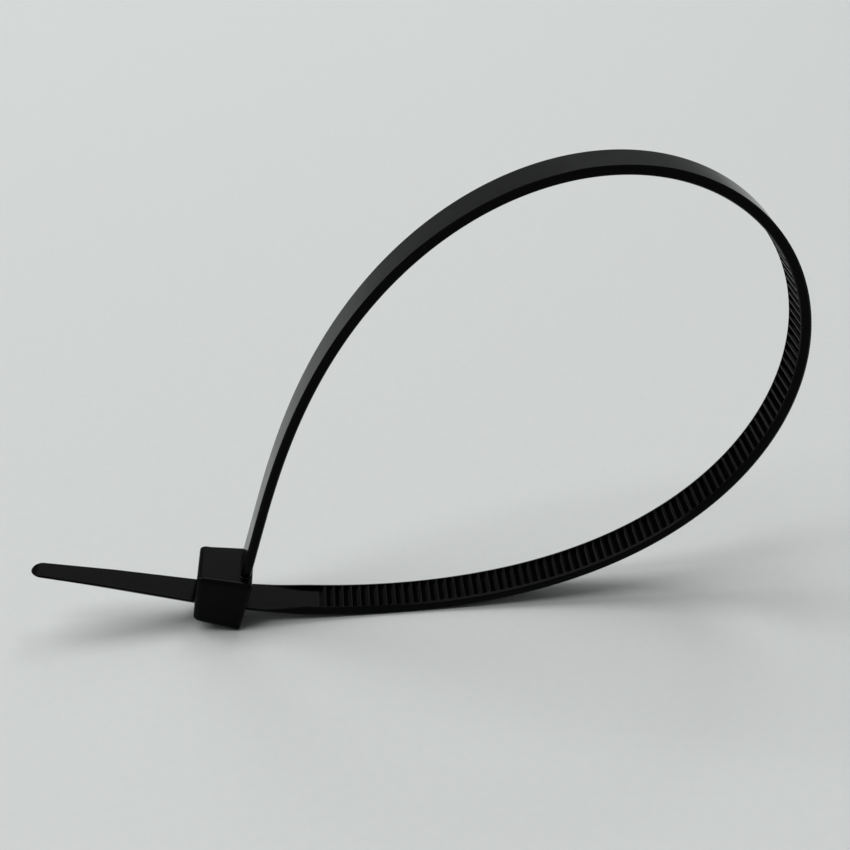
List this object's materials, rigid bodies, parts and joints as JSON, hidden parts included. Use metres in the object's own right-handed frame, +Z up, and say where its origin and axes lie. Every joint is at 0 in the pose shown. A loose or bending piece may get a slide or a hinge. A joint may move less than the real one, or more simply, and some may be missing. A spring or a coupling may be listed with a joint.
{
  "type": "cable tie",
  "caption": "Self-locking nylon cable tie, closed into a loop: toothed strap between two rails, head with slot and pawl, smooth tail drawn through.",
  "frame": {"origin": "On the surface that the tie stands on, under the middle of its bounding box", "axes": "+Z up, +X from the tail's tip past the head towards the far end of the loop, +Y across the strap, away from the camera of the picture; the loop lies in the XZ plane"},
  "size_m": [0.084, 0.007, 0.0523],
  "materials": {
    "black_nylon": "moulded black PA66 nylon, semi-gloss"
  },
  "bodies": {
    "root": {"cable_tie": "black_nylon"}
  },
  "joints": []
}
